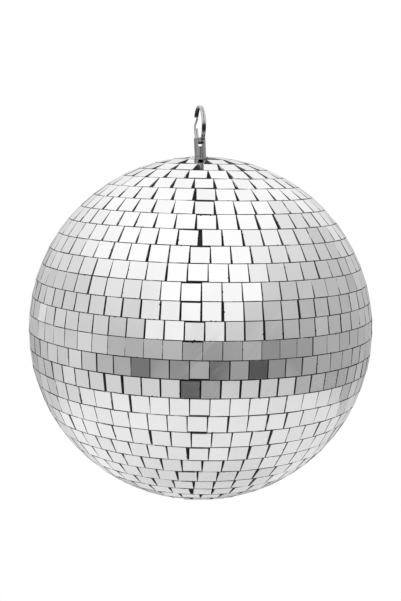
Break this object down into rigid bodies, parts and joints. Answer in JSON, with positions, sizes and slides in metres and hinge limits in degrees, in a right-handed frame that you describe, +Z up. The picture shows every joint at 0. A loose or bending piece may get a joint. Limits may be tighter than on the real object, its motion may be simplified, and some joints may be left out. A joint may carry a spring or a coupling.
{
  "type": "mirror ball",
  "caption": "Small mirror ball of square glass tiles laid in rows on a hollow core, hung from a short cross-drilled steel pin and a split ring.",
  "frame": {"origin": "hanging point: inside top of the split ring, where a hook or line bears", "axes": "+Z up along the hang line, -Y the front of the ball where the tile rows close, +X to the right seen from the front"},
  "size_m": [0.2032, 0.2032, 0.2323],
  "materials": {
    "ring_steel": "nickel plated spring wire, slightly worn",
    "pin_steel": "turned steel with fine lengthwise streaks",
    "zinc_plated_steel": "bright zinc plated",
    "core_plastic": "moulded, matt",
    "black_adhesive": "brushed-on contact adhesive, uneven, satin",
    "mirror_glass": "silvered 1.2 mm glass with cut edges"
  },
  "bodies": {
    "ring": {"split_ring": "ring_steel"},
    "ball": {"hanger_pin": "pin_steel", "seat_washer": "zinc_plated_steel", "load_plate": "zinc_plated_steel", "lock_nut": "zinc_plated_steel", "core_upper": "core_plastic", "core_lower": "core_plastic", "adhesive_coat_upper": "black_adhesive", "adhesive_coat_lower": "black_adhesive", "tile_row_lower_01": "mirror_glass", "tile_row_lower_02": "mirror_glass", "tile_row_lower_03": "mirror_glass", "tile_row_lower_04": "mirror_glass", "tile_row_lower_05": "mirror_glass", "tile_row_lower_06": "mirror_glass", "tile_row_lower_07": "mirror_glass", "tile_row_lower_08": "mirror_glass", "tile_row_lower_09": "mirror_glass", "tile_row_lower_10": "mirror_glass", "tile_row_lower_11": "mirror_glass", "tile_row_lower_12": "mirror_glass", "tile_row_lower_13": "mirror_glass", "tile_row_lower_14": "mirror_glass", "tile_row_lower_15": "mirror_glass", "tile_row_upper_01": "mirror_glass", "tile_row_upper_02": "mirror_glass", "tile_row_upper_03": "mirror_glass", "tile_row_upper_04": "mirror_glass", "tile_row_upper_05": "mirror_glass", "tile_row_upper_06": "mirror_glass", "tile_row_upper_07": "mirror_glass", "tile_row_upper_08": "mirror_glass", "tile_row_upper_09": "mirror_glass", "tile_row_upper_10": "mirror_glass", "tile_row_upper_11": "mirror_glass", "tile_row_upper_12": "mirror_glass", "tile_row_upper_13": "mirror_glass", "tile_row_upper_14": "mirror_glass", "tile_row_upper_15": "mirror_glass", "bottom_tile": "mirror_glass"}
  },
  "joints": [
    {"name": "ball_swing", "type": "hinge", "parent": "ring", "child": "ball", "pos_m": [0, 0, -0.02043], "axis": [0.225, -0.9744, 0], "range_deg": [-105, 105]}
  ]
}
